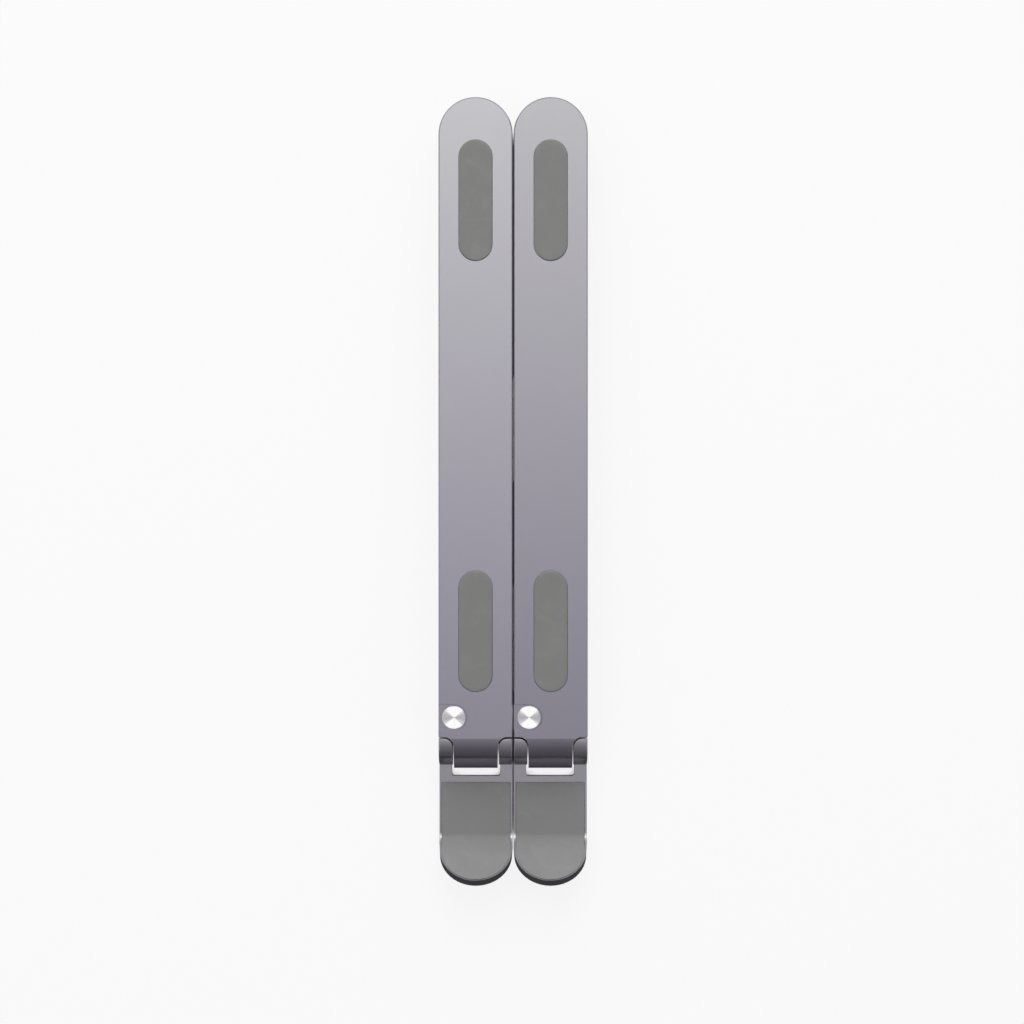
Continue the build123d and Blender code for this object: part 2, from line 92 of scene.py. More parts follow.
class NodeGraph:
    """Adds and joins the nodes of one shader tree."""

    def __init__(self, tree: bpy.types.NodeTree) -> None:
        """Keep the tree that the nodes go into.

        Args:
            tree: The tree of a material, a world or a node group.
        """
        self.tree = tree

    def add(self, kind: str, inputs: dict | None = None, **settings: object) -> bpy.types.Node:
        """Add one node.

        Args:
            kind: Blender's name for the node type.
            inputs: Plain values for input sockets, by socket name or number.
            **settings: Properties of the node itself.

        Returns:
            The new node.
        """
        node = self.tree.nodes.new(kind)
        for key, value in settings.items():
            setattr(node, key, value)
        for key, value in (inputs or {}).items():
            node.inputs[key].default_value = value
        return node

    def join(self, source: Socket, *targets: Socket) -> None:
        """Link one output to one or more inputs.

        Args:
            source: The output socket.
            *targets: The input sockets.
        """
        for target in targets:
            self.tree.links.new(source, target)

    def feed(self, target: Socket, value: Socket | float | Colour) -> None:
        """Link an input to a socket, or set it to a plain value.

        Args:
            target: The input socket.
            value: An output socket, a number or a colour.
        """
        if isinstance(value, Socket):
            self.join(value, target)
        else:
            target.default_value = value

    def maths(self, operation: str, *operands: Socket | float, clamp: bool = False) -> Socket:
        """Add a Math node.

        Args:
            operation: Blender's name for the operation.
            *operands: Its operands in order, each a socket or a number.
            clamp: Whether the result stays between 0 and 1.

        Returns:
            The result's socket.
        """
        node = self.add("ShaderNodeMath", operation=operation, use_clamp=clamp)
        for target, operand in zip(node.inputs, operands):
            self.feed(target, operand)
        return node.outputs[0]

    def mix(
        self,
        factor: Socket,
        first: Socket | float | Colour,
        second: Socket | float | Colour,
        kind: str = "RGBA",
    ) -> Socket:
        """Mix two colours or two numbers.

        Args:
            factor: The share of the second one.
            first: The first one, a socket or a plain value.
            second: The second one, a socket or a plain value.
            kind: Blender's name for what is mixed.

        Returns:
            The socket of the mixed value.
        """
        node = self.add("ShaderNodeMix", data_type=kind)
        for name, value in (("Factor", factor), ("A", first), ("B", second)):
            self.feed(node.inputs[name], value)
        return node.outputs["Result"]

    def mix_shaders(self, factor: Socket | float, first: Socket, second: Socket) -> Socket:
        """Mix two shaders.

        Args:
            factor: The share of the second one.
            first: The first shader's socket.
            second: The second shader's socket.

        Returns:
            The socket of the mixed shader.
        """
        node = self.add("ShaderNodeMixShader")
        for target, value in zip(node.inputs, (factor, first, second)):
            self.feed(target, value)
        return node.outputs["Shader"]

    def ramp(self, value: Socket, stops: tuple[Stop, ...]) -> Socket:
        """Turn a value between 0 and 1 into a grey level.

        Args:
            value: The value's socket.
            stops: Pairs of place and grey level, in order.

        Returns:
            The socket of the level.
        """
        node = self.add("ShaderNodeValToRGB")
        marks = node.color_ramp.elements
        for place, level in stops[1:-1]:
            marks.new(place).color = (level, level, level, 1.0)
        for index, (place, level) in ((0, stops[0]), (-1, stops[-1])):
            marks[index].position = place
            marks[index].color = (level, level, level, 1.0)
        self.join(value, node.inputs["Fac"])
        return node.outputs["Color"]

    def remap(self, value: Socket, from_range: Range, to_range: Range = (0.0, 1.0)) -> Socket:
        """Map a value smoothly from one range to another, clamped.

        Args:
            value: The value's socket.
            from_range: The range that comes in.
            to_range: The range that goes out.

        Returns:
            The socket of the mapped value.
        """
        node = self.add("ShaderNodeMapRange", interpolation_type="SMOOTHSTEP")
        for target, bound in zip(node.inputs[1:], (*from_range, *to_range)):
            target.default_value = bound
        self.join(value, node.inputs["Value"])
        return node.outputs["Result"]

    def own_place(self) -> Socket:
        """Place of a point in its object's own coordinates."""
        return self.add("ShaderNodeTexCoord").outputs["Object"]

    def axes(self, vector: Socket) -> bpy.types.NodeOutputs:
        """Split a vector into its X, Y and Z.

        Args:
            vector: The vector's socket.

        Returns:
            The three outputs, by name.
        """
        node = self.add("ShaderNodeSeparateXYZ")
        self.join(vector, node.inputs["Vector"])
        return node.outputs


def new_group(
    name: str, inputs: dict[str, tuple[str, object]], outputs: dict[str, str]
) -> bpy.types.NodeTree:
    """Make an empty shader group with named sockets.

    Args:
        name: The group's name.
        inputs: Socket type and default value of each input, by name.
        outputs: Socket type of each output, by name.

    Returns:
        The group, with its input and output nodes.
    """
    group = bpy.data.node_groups.new(name, "ShaderNodeTree")
    for label, (kind, value) in inputs.items():
        socket = group.interface.new_socket(label, in_out="INPUT", socket_type=kind)
        socket.default_value = value
    for label, kind in outputs.items():
        group.interface.new_socket(label, in_out="OUTPUT", socket_type=kind)
    group.nodes.new("NodeGroupInput")
    group.nodes.new("NodeGroupOutput")
    return group


class SharedEffects:
    """Builds each shared effect once and places it in a material."""

    def __init__(self) -> None:
        """Build the three groups."""
        self.groups = {
            Effect.GRAIN: self._fine_grain(),
            Effect.EDGE: self._soft_edge(),
            Effect.HANDLING: self._handling_marks(),
        }

    @staticmethod
    def _fine_grain() -> bpy.types.NodeTree:
        """Group that breaks up a colour and a roughness with grain and slow clouds.

        Returns:
            The group, with a colour, a roughness and a height as its outputs.
        """
        group = new_group(
            Effect.GRAIN.value,
            {
                "Vector": ("NodeSocketVector", (0.0, 0.0, 0.0)),
                "Colour": ("NodeSocketColor", (0.5, 0.5, 0.5, 1.0)),
                "Roughness": ("NodeSocketFloat", 0.5),
                "Grains per metre": ("NodeSocketFloat", 5000.0),
                "Clouds per metre": ("NodeSocketFloat", 30.0),
                "Tone change": ("NodeSocketFloat", 0.05),
                "Roughness change": ("NodeSocketFloat", 0.05),
            },
            {
                "Colour": "NodeSocketColor",
                "Roughness": "NodeSocketFloat",
                "Height": "NodeSocketFloat",
            },
        )
        graph = NodeGraph(group)
        source = group.nodes["Group Input"].outputs
        target = group.nodes["Group Output"].inputs
        grain = graph.add("ShaderNodeTexNoise", {"Detail": 3.0, "Roughness": 0.6})
        clouds = graph.add("ShaderNodeTexNoise", {"Detail": 2.0, "Roughness": 0.5})
        graph.join(source["Vector"], grain.inputs["Vector"], clouds.inputs["Vector"])
        graph.join(source["Grains per metre"], grain.inputs["Scale"])
        graph.join(source["Clouds per metre"], clouds.inputs["Scale"])
        total = graph.maths("ADD", grain.outputs["Fac"], clouds.outputs["Fac"])
        swing = graph.maths("SUBTRACT", total, 1.0)
        tone = graph.maths("MULTIPLY", swing, source["Tone change"])
        factor = graph.maths("ADD", tone, 1.0)
        tinted = graph.add("ShaderNodeVectorMath", operation="SCALE")
        graph.join(source["Colour"], tinted.inputs["Vector"])
        graph.join(factor, tinted.inputs["Scale"])
        graph.join(tinted.outputs["Vector"], target["Colour"])
        spread = graph.maths("MULTIPLY", swing, source["Roughness change"])
        uneven = graph.maths("ADD", source["Roughness"], spread, clamp=True)
        graph.join(uneven, target["Roughness"])
        graph.join(grain.outputs["Fac"], target["Height"])
        return group

    @staticmethod
    def _soft_edge() -> bpy.types.NodeTree:
        """Group that rounds sharp edges in the shading and finds them.

        Returns:
            The group, with the rounded normal and a mask of the edges as its outputs.
        """
        group = new_group(
            Effect.EDGE.value,
            {"Radius": ("NodeSocketFloat", 0.2 * MM), "Strength": ("NodeSocketFloat", 2.0)},
            {"Normal": "NodeSocketVector", "Edge": "NodeSocketFloat"},
        )
        graph = NodeGraph(group)
        source = group.nodes["Group Input"].outputs
        target = group.nodes["Group Output"].inputs
        rounded = graph.add("ShaderNodeBevel", samples=4)
        graph.join(source["Radius"], rounded.inputs["Radius"])
        surface = graph.add("ShaderNodeNewGeometry")
        likeness = graph.add("ShaderNodeVectorMath", operation="DOT_PRODUCT")
        graph.join(rounded.outputs["Normal"], likeness.inputs[0], target["Normal"])
        graph.join(surface.outputs["Normal"], likeness.inputs[1])
        turned = graph.maths("SUBTRACT", 1.0, likeness.outputs["Value"])
        mask = graph.maths("MULTIPLY", turned, source["Strength"], clamp=True)
        graph.join(mask, target["Edge"])
        return group

    @staticmethod
    def _handling_marks() -> bpy.types.NodeTree:
        """Group that gives soft patches, as hands and cloths leave on a surface.

        Returns:
            The group, with a mask of the patches as its output.
        """
        group = new_group(
            Effect.HANDLING.value,
            {
                "Vector": ("NodeSocketVector", (0.0, 0.0, 0.0)),
                "Patches per metre": ("NodeSocketFloat", 60.0),
                "Cover": ("NodeSocketFloat", 0.5),
            },
            {"Mark": "NodeSocketFloat"},
        )
        graph = NodeGraph(group)
        source = group.nodes["Group Input"].outputs
        patches = graph.add(
            "ShaderNodeTexNoise", {"Detail": 4.0, "Roughness": 0.6, "Distortion": 0.8}
        )
        graph.join(source["Vector"], patches.inputs["Vector"])
        graph.join(source["Patches per metre"], patches.inputs["Scale"])
        raised = graph.maths("ADD", patches.outputs["Fac"], source["Cover"])
        soft_border = (0.85, 1.2)
        mark = graph.remap(raised, soft_border)
        graph.join(mark, group.nodes["Group Output"].inputs["Mark"])
        return group

    def place(self, graph: NodeGraph, effect: Effect, **values: float | Colour) -> bpy.types.Node:
        """Place an effect in a material.

        Args:
            graph: The material's graph.
            effect: Which effect to place.
            **values: Values of the group's inputs, with spaces written as underscores.

        Returns:
            The group node.
        """
        node = graph.add("ShaderNodeGroup", node_tree=self.groups[effect])
        for key, value in values.items():
            node.inputs[key.replace("_", " ")].default_value = value
        return node


def new_material(name: str) -> tuple[bpy.types.Material, NodeGraph, bpy.types.Node]:
    """Make a material that holds just a Principled shader and its output.

    Args:
        name: The material's name.

    Returns:
        The material, its graph and the shader node.
    """
    material = bpy.data.materials.new(name)
    material.use_nodes = True
    graph = NodeGraph(material.node_tree)
    return material, graph, material.node_tree.nodes["Principled BSDF"]


# Finishes


@dataclass(frozen=True)
class Finish:
    """What each finish has: colour, roughness, the grain that breaks them up, and a relief."""

    name: str
    colour: Colour
    roughness: float
    grains_per_metre: float
    clouds_per_metre: float
    tone_change: float
    roughness_change: float
    relief_depth: float
    relief_strength: float

    def _grain(self, graph: NodeGraph, effects: SharedEffects) -> bpy.types.Node:
        """Place the grain with this finish's values.

        Args:
            graph: The material's graph.
            effects: The shared node groups.

        Returns:
            The grain's group node.
        """
        return effects.place(
            graph,
            Effect.GRAIN,
            Colour=self.colour,
            Roughness=self.roughness,
            Grains_per_metre=self.grains_per_metre,
            Clouds_per_metre=self.clouds_per_metre,
            Tone_change=self.tone_change,
            Roughness_change=self.roughness_change,
        )

    def _relief(
        self,
        graph: NodeGraph,
        shader: bpy.types.Node,
        height: Socket,
        normal: Socket | None = None,
    ) -> None:
        """Give the shader this finish's fine relief.

        Args:
            graph: The material's graph.
            shader: The shader node.
            height: The relief's height.
            normal: The normal under the relief, where it isn't the surface's own.
        """
        bump = graph.add(
            "ShaderNodeBump", {"Strength": self.relief_strength, "Distance": self.relief_depth}
        )
        graph.join(height, bump.inputs["Height"])
        if normal is not None:
            graph.join(normal, bump.inputs["Normal"])
        graph.join(bump.outputs["Normal"], shader.inputs["Normal"])


@dataclass(frozen=True)
class BlastedAluminium(Finish):
    """Bead-blasted and anodised aluminium, with softened edges in painted shade and soft handling
    marks.
    """

    roughness: float = 0.22
    grains_per_metre: float = 7000.0
    clouds_per_metre: float = 22.0
    tone_change: float = 0.05
    roughness_change: float = 0.05
    relief_depth: float = 0.004 * MM
    relief_strength: float = 0.35
    # Painted shade: the dark colour that the edges are mixed towards
    painted_edge_light_colour: Colour = (0.06, 0.058, 0.066, 1.0)
    edge_radius: float = 0.18 * MM
    edge_strength: float = 4.0
    marks_per_metre: float = 45.0
    marks_cover: float = 0.45
    marks_roughness: float = 0.03

    def build(self, effects: SharedEffects) -> bpy.types.Material:
        """Build the material.

        Args:
            effects: The shared node groups.

        Returns:
            The material.
        """
        material, graph, shader = new_material(self.name)
        grain = self._grain(graph, effects)
        edge = effects.place(
            graph, Effect.EDGE, Radius=self.edge_radius, Strength=self.edge_strength
        )
        marks = effects.place(
            graph, Effect.HANDLING, Patches_per_metre=self.marks_per_metre, Cover=self.marks_cover
        )
        graph.join(graph.own_place(), grain.inputs["Vector"], marks.inputs["Vector"])
        # Painted shade: the edges are mixed towards the dark edge colour
        colour = graph.mix(edge.outputs["Edge"], grain.outputs["Colour"], self.painted_edge_light_colour)
        dulled = graph.maths(
            "MULTIPLY_ADD", marks.outputs["Mark"], self.marks_roughness, grain.outputs["Roughness"]
        )
        graph.join(colour, shader.inputs["Base Color"])
        graph.join(dulled, shader.inputs["Roughness"])
        self._relief(graph, shader, grain.outputs["Height"], edge.outputs["Normal"])
        shader.inputs["Metallic"].default_value = 1.0
        return material


@dataclass(frozen=True)
class BrushedSteel(Finish):
    """Flat stock steel, brushed along one direction, with a painted highlight along its edges."""

    colour: Colour = (0.50, 0.50, 0.51, 1.0)
    roughness: float = 0.34
    grains_per_metre: float = 5000.0
    clouds_per_metre: float = 60.0
    tone_change: float = 0.12
    roughness_change: float = 0.12
    relief_depth: float = 0.006 * MM
    relief_strength: float = 0.4
    turn: float = 0.0
    stroke_stretch: float = 0.02
    # Painted highlight: the light colour that the edges are mixed towards
    painted_edge_light_colour: Colour = (0.66, 0.66, 0.67, 1.0)
    edge_radius: float = 0.15 * MM
    edge_strength: float = 3.0

    def build(self, effects: SharedEffects) -> bpy.types.Material:
        """Build the material.

        Args:
            effects: The shared node groups.

        Returns:
            The material.
        """
        material, graph, shader = new_material(self.name)
        strokes = graph.add(
            "ShaderNodeMapping",
            {"Rotation": (0.0, 0.0, self.turn), "Scale": (1.0, self.stroke_stretch, 1.0)},
        )
        grain = self._grain(graph, effects)
        edge = effects.place(
            graph, Effect.EDGE, Radius=self.edge_radius, Strength=self.edge_strength
        )
        graph.join(graph.own_place(), strokes.inputs["Vector"])
        graph.join(strokes.outputs["Vector"], grain.inputs["Vector"])
        # Painted highlight: the edges are mixed towards the light edge colour
        colour = graph.mix(edge.outputs["Edge"], grain.outputs["Colour"], self.painted_edge_light_colour)
        graph.join(colour, shader.inputs["Base Color"])
        graph.join(grain.outputs["Roughness"], shader.inputs["Roughness"])
        self._relief(graph, shader, grain.outputs["Height"], edge.outputs["Normal"])
        shader.inputs["Metallic"].default_value = 1.0
        return material


@dataclass(frozen=True)
class TurnedSteel(Finish):
    """Bright steel faced on a lathe, with fine rings round its own axis."""

    colour: Colour = (0.96, 0.93, 0.99, 1.0)
    roughness: float = 0.32
    grains_per_metre: float = 4000.0
    clouds_per_metre: float = 300.0
    tone_change: float = 0.05
    roughness_change: float = 0.08
    relief_depth: float = 0.004 * MM
    relief_strength: float = 0.25
    ring_radians_per_metre: float = 7500.0
    ring_wobble: float = 0.4
    ring_detail: float = 2.0
    highlight_stretch: float = 1.0
    highlight_turn: float = 0.25

    def build(self, effects: SharedEffects, centre: Vector) -> bpy.types.Material:
        """Build the material for one turned piece.

        Args:
            effects: The shared node groups.
            centre: A point on the piece's axis.

        Returns:
            The material.
        """
        material, graph, shader = new_material(self.name)
        centred = graph.add("ShaderNodeMapping", {"Location": (-centre.x, -centre.y, 0.0)})
        graph.join(graph.own_place(), centred.inputs["Vector"])
        rings = graph.add(
            "ShaderNodeTexWave",
            {
                "Scale": self.ring_radians_per_metre / WAVE_RADIANS,
                "Distortion": self.ring_wobble,
                "Detail": self.ring_detail,
            },
            wave_type="RINGS",
            rings_direction="Z",
        )
        grain = self._grain(graph, effects)
        graph.join(centred.outputs["Vector"], rings.inputs["Vector"], grain.inputs["Vector"])
        graph.join(grain.outputs["Colour"], shader.inputs["Base Color"])
        graph.join(grain.outputs["Roughness"], shader.inputs["Roughness"])
        self._relief(graph, shader, rings.outputs["Fac"])
        tangent = graph.add("ShaderNodeTangent", direction_type="RADIAL", axis="Z")
        graph.join(tangent.outputs["Tangent"], shader.inputs["Tangent"])
        shader.inputs["Anisotropic"].default_value = self.highlight_stretch
        shader.inputs["Anisotropic Rotation"].default_value = self.highlight_turn
        shader.inputs["Metallic"].default_value = 1.0
        return material


@dataclass(frozen=True)
class MouldedRubber(Finish):
    """Matt silicone or rubber, with a fine moulded texture and a little dust."""

    roughness: float = 0.62
    grains_per_metre: float = 4500.0
    clouds_per_metre: float = 60.0
    tone_change: float = 0.08
    roughness_change: float = 0.1
    relief_depth: float = 0.02 * MM
    relief_strength: float = 0.3
    dust_per_metre: float = 120.0
    dust_cover: float = 0.4
    dust_lightness: float = 1.12

    def build(self, effects: SharedEffects) -> bpy.types.Material:
        """Build the material.

        Args:
            effects: The shared node groups.

        Returns:
            The material.
        """
        material, graph, shader = new_material(self.name)
        grain = self._grain(graph, effects)
        dust = effects.place(
            graph, Effect.HANDLING, Patches_per_metre=self.dust_per_metre, Cover=self.dust_cover
        )
        graph.join(graph.own_place(), grain.inputs["Vector"], dust.inputs["Vector"])
        dusty = (*(self.dust_lightness * part for part in self.colour[:3]), 1.0)
        colour = graph.mix(dust.outputs["Mark"], grain.outputs["Colour"], dusty)
        graph.join(colour, shader.inputs["Base Color"])
        graph.join(grain.outputs["Roughness"], shader.inputs["Roughness"])
        self._relief(graph, shader, grain.outputs["Height"])
        return material


# Meshes


def finish_mesh(
    name: str, shape: bmesh.types.BMesh, material: bpy.types.Material, sharp_over: float = 35.0
) -> bpy.types.Object:
    """Make a finished object of a bmesh, at the origin and with smooth shading.

    Args:
        name: The piece's name.
        shape: The bmesh, which is freed.
        material: The piece's material.
        sharp_over: Edges that turn by more than this many degrees stay sharp.

    Returns:
        The object, in the scene.
    """
    bmesh.ops.remove_doubles(shape, verts=shape.verts, dist=WELD_DISTANCE)
    bmesh.ops.recalc_face_normals(shape, faces=shape.faces)
    mesh = bpy.data.meshes.new(name)
    shape.to_mesh(mesh)
    shape.free()
    mesh.materials.append(material)
    mesh.shade_smooth()
    mesh.set_sharp_from_angle(angle=math.radians(sharp_over))
    piece = bpy.data.objects.new(name, mesh)
    bpy.context.scene.collection.objects.link(piece)
    return piece


def seat(piece: bpy.types.Object, node: str, body: str) -> None:
    """Let a piece stand for a CAD node, and move with its body.

    Args:
        piece: The finished piece.
        node: The CAD node that it replaces.
        body: The body that it rides on.
    """
    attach(piece, body)
    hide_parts(node)
    log.info("%s: %d faces, on %s", piece.name, len(piece.data.polygons), body)


def round_corners(shape: bmesh.types.BMesh, corners: list, radius: float, steps: int) -> None:
    """Round corner points of a flat face in its own plane.

    Args:
        shape: The bmesh that holds the face.
        corners: The corner vertices.
        radius: How far from each corner the round begins.
        steps: The number of edges in each round.
    """
    bmesh.ops.bevel(
        shape,
        geom=corners,
        offset=radius,
        offset_type="OFFSET",
        segments=steps,
        profile=0.5,
        affect="VERTICES",
        material=-1,
    )


def soften_rim(shape: bmesh.types.BMesh, level: float, radius: float, steps: int = 4) -> None:
    """Round the outer edges that lie at one height.

    Args:
        shape: The bmesh.
        level: The height of the edges.
        radius: Radius of the round.
        steps: The number of faces across the round.
    """
    near = radius / 100
    rim = [
        edge
        for edge in shape.edges
        if all(abs(vert.co.z - level) < near for vert in edge.verts)
        and abs(edge.calc_face_angle(0.0)) > RIM_TURN
    ]
    bmesh.ops.bevel(
        shape,
        geom=rim,
        offset=radius,
        offset_type="OFFSET",
        segments=steps,
        profile=0.5,
        affect="EDGES",
        material=-1,
    )


def raise_flat(shape: bmesh.types.BMesh, height: float) -> None:
    """Give a flat outline its height, upwards.

    Args:
        shape: A bmesh with one flat region.
        height: How far up the region goes.
    """
    grown = bmesh.ops.extrude_face_region(shape, geom=shape.faces[:])
    top = [item for item in grown["geom"] if isinstance(item, bmesh.types.BMVert)]
    bmesh.ops.translate(shape, verts=top, vec=(0.0, 0.0, height))


def dish_top(shape: bmesh.types.BMesh, margin: float, depth: float) -> None:
    """Sink the middle of the topmost face.

    Args:
        shape: The bmesh.
        margin: The width of the rim that stays.
        depth: How far the middle sinks.
    """
    top = max(shape.faces, key=lambda face: face.calc_center_median().z)
    bmesh.ops.inset_region(
        shape, faces=[top], thickness=margin, depth=-depth, use_even_offset=True
    )


@dataclass
class StadiumPad:
    """Flat moulded piece with two full round ends, taken from a CAD node's box."""

    node: str
    rim_radius: float
    dished_up: bool
    side_room: float = 0.03 * MM
    dish: float = 0.05 * MM
    dish_margin: float = 1.2 * MM
    round_steps: int = 72

    def shape(self) -> bmesh.types.BMesh:
        """Model the piece.

        Returns:
            The bmesh, in its place.
        """
        low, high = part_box(self.node)
        width = high.x - low.x - 2 * self.side_room
        length = high.y - low.y - 2 * self.side_room
        height = high.z - low.z
        shape = bmesh.new()
        bmesh.ops.create_circle(
            shape, cap_ends=True, segments=self.round_steps, radius=width / 2
        )
        half_step = Matrix.Rotation(math.pi / self.round_steps, 3, "Z")
        bmesh.ops.rotate(shape, cent=(0.0, 0.0, 0.0), matrix=half_step, verts=shape.verts)
        for sign in (1, -1):
            end = [vert for vert in shape.verts if sign * vert.co.y > 0]
            bmesh.ops.translate(shape, verts=end, vec=(0.0, sign * (length - width) / 2, 0.0))
        raise_flat(shape, height)
        soften_rim(shape, height, self.rim_radius)
        dish_top(shape, self.dish_margin, self.dish)
        if not self.dished_up:
            bmesh.ops.scale(shape, vec=(1.0, 1.0, -1.0), verts=shape.verts)
            bmesh.ops.translate(shape, verts=shape.verts, vec=(0.0, 0.0, height))
        centre = (low + high) / 2
        bmesh.ops.translate(shape, verts=shape.verts, vec=(centre.x, centre.y, low.z))
        return shape


@dataclass
class FrontFoot:
    """Rubber foot with round corners, near the hook."""

    node: str
    corner: float = 3.0 * MM
    corner_steps: int = 10
    rim_radius: float = 0.3 * MM
    side_room: float = 0.03 * MM
    dish: float = 0.12 * MM
    dish_margin: float = 1.4 * MM

    def shape(self) -> bmesh.types.BMesh:
        """Model the foot.

        Returns:
            The bmesh, in its place.
        """
        low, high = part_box(self.node)
        width = high.x - low.x - 2 * self.side_room
        length = high.y - low.y - 2 * self.side_room
        height = high.z - low.z
        shape = bmesh.new()
        bmesh.ops.create_grid(shape, x_segments=1, y_segments=1, size=0.5)
        bmesh.ops.scale(shape, vec=(width, length, 1.0), verts=shape.verts)
        round_corners(shape, shape.verts[:], self.corner, self.corner_steps)
        raise_flat(shape, height)
        soften_rim(shape, height, self.rim_radius)
        dish_top(shape, self.dish_margin, self.dish)
        bmesh.ops.scale(shape, vec=(1.0, 1.0, -1.0), verts=shape.verts)
        centre = (low + high) / 2
        bmesh.ops.translate(shape, verts=shape.verts, vec=(centre.x, centre.y, high.z))
        return shape


@dataclass
class HookLining:
    """Silicone lining of one hook: flat, then bent up, then round at its tip."""

    node: str
    bend_start: float = 15.7 * MM
    bend_radius: float = 4.3 * MM
    bend_angle: float = 40.0
    slope: float = 13.35 * MM
    pocket_depth: float = 0.7 * MM
    thickness: float = 1.0 * MM
    tip_taper: float = 0.15 * MM
    side_room: float = 0.03 * MM
    rim_radius: float = 0.24 * MM
    rim_steps: int = 3
    bend_steps: int = 10
    tip_steps: int = 28

    def _bent(self, point: Vector, start_y: float, pocket_floor: float) -> Vector:
        """Place of a point of the flat lining once it is bent.

        Args:
            point: The point, with its distance along the lining as -y.
            start_y: Where the lining starts.
            pocket_floor: Height of the pocket's floor.

        Returns:
            The place.
        """
        along = -point.y
        above = point.z - self.pocket_depth
        surface = pocket_floor + self.pocket_depth
        turn = min(max((along - self.bend_start) / self.bend_radius, 0.0), self._angle())
        flat = min(along, self.bend_start)
        rest = max(along - self.bend_start - self.bend_radius * self._angle(), 0.0)
        reach = self.bend_radius - above
        y = start_y - flat - reach * math.sin(turn) - rest * math.cos(turn)
        z = surface + self.bend_radius - reach * math.cos(turn) + rest * math.sin(turn)
        return Vector((point.x, y, z))

    def _angle(self) -> float:
        """Angle of the bend in radians."""
        return math.radians(self.bend_angle)

    def shape(self) -> bmesh.types.BMesh:
        """Model the lining.

        Returns:
            The bmesh, in its place.
        """
        low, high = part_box(self.node)
        width = high.x - low.x - 2 * self.side_room
        bend_length = self.bend_radius * self._angle()
        length = self.bend_start + bend_length + self.slope - self.side_room
        shape = bmesh.new()
        bmesh.ops.create_grid(shape, x_segments=1, y_segments=1, size=0.5)
        bmesh.ops.scale(shape, vec=(width, length, 1.0), verts=shape.verts)
        bmesh.ops.translate(shape, verts=shape.verts, vec=(0.0, -length / 2, 0.0))
        tip = [vert for vert in shape.verts if vert.co.y < -length / 2]
        round_corners(shape, tip, width / 2 - self.tip_taper, self.tip_steps)
        raise_flat(shape, self.thickness)
        soften_rim(shape, self.thickness, self.rim_radius, self.rim_steps)
        for step in range(self.bend_steps + 1):
            cut = -self.bend_start - bend_length * step / self.bend_steps
            bmesh.ops.bisect_plane(
                shape,
                geom=shape.verts[:] + shape.edges[:] + shape.faces[:],
                dist=CUT_TOLERANCE,
                plane_co=(0.0, cut, 0.0),
                plane_no=(0.0, 1.0, 0.0),
            )
        centre_x = (low.x + high.x) / 2
        for vert in shape.verts:
            vert.co = self._bent(vert.co, high.y, low.z)
            vert.co.x += centre_x
        return shape


@dataclass
class PivotRivet:
    """Turned rivet: closed head below the bar, shank, and bright head in the recess."""

    node: str
    shank_radius: float = 1.9 * MM
    closed_radius: float = 2.8 * MM
    closed_height: float = 0.7 * MM
    head_height: float = 0.8 * MM
    edge: float = 0.16 * MM
    steps: int = 96

    def axis(self) -> Vector:
        """Point on the rivet's axis, at its foot."""
        low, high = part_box(self.node)
        return Vector(((low.x + high.x) / 2, (low.y + high.y) / 2, low.z))

    def shape(self) -> bmesh.types.BMesh:
        """Model the rivet by spinning its profile.

        Returns:
            The bmesh, in its place.
        """
        low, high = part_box(self.node)
        head_radius = (high.x - low.x) / 2
        top = high.z - low.z
        under = top - self.head_height
        profile = (
            (0.0, 0.0),
            (self.closed_radius - self.edge, 0.0),
            (self.closed_radius, self.edge),
            (self.closed_radius, self.closed_height),
            (self.shank_radius, self.closed_height),
            (self.shank_radius, under),
            (head_radius, under),
            (head_radius, top - self.edge),
            (head_radius - self.edge, top),
            (0.0, top),
        )
        shape = bmesh.new()
        foot = self.axis()
        points = [shape.verts.new(foot + Vector((out, 0.0, up))) for out, up in profile]
        lines = [shape.edges.new(pair) for pair in zip(points, points[1:])]
        bmesh.ops.spin(
            shape,
            geom=points + lines,
            cent=foot,
            axis=(0.0, 0.0, 1.0),
            angle=2 * math.pi,
            steps=self.steps,
            use_merge=True,
        )
        return shape


# Sub-assemblies


@dataclass
class Finishes:
    """The finishes of the whole stand, built once."""

    effects: SharedEffects
    left_rail_colour: Colour = (0.332, 0.307, 0.378, 1.0)
    # The right rail's aluminium is a darker copy of the left rail's: painted shade
    right_rail_shaded_colour: Colour = (0.305, 0.281, 0.347, 1.0)
    base_colour: Colour = (0.355, 0.337, 0.380, 1.0)
    leg_roughness: float = 0.4
    pad_colour: Colour = (0.218, 0.218, 0.217, 1.0)
    lining_colour: Colour = (0.233, 0.232, 0.234, 1.0)
    foot_colour: Colour = (0.035, 0.035, 0.036, 1.0)
    foot_roughness: float = 0.7

    def __post_init__(self) -> None:
        """Build the materials that several pieces share."""
        # Painted shade: the right rail gets the darker copy of the aluminium
        rail_colours = {Side.LEFT: self.left_rail_colour, Side.RIGHT: self.right_rail_shaded_colour}
        self.rail = {
            side: BlastedAluminium(f"{side.value}_rail_aluminium", colour).build(self.effects)
            for side, colour in rail_colours.items()
        }
        base = BlastedAluminium("base_blasted_aluminium", self.base_colour)
        leg = BlastedAluminium("leg_blasted_aluminium", self.base_colour, self.leg_roughness)
        pad = MouldedRubber("pad_silicone", self.pad_colour)
        lining = MouldedRubber("hook_silicone", self.lining_colour)
        foot = MouldedRubber("foot_rubber", self.foot_colour, self.foot_roughness)
        self.base = base.build(self.effects)
        self.leg = leg.build(self.effects)
        self.pin = BrushedSteel("pin_steel").build(self.effects)
        self.pad = pad.build(self.effects)
        self.lining = lining.build(self.effects)
        self.foot = foot.build(self.effects)


def dress(node: str, material: bpy.types.Material) -> None:
    """Give a CAD node that stays its finish.

    Args:
        node: The node's name.
        material: The finish.
    """
    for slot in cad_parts[node].material_slots:
        slot.material = material
    log.info("%s: dressed with %s", node, material.name)


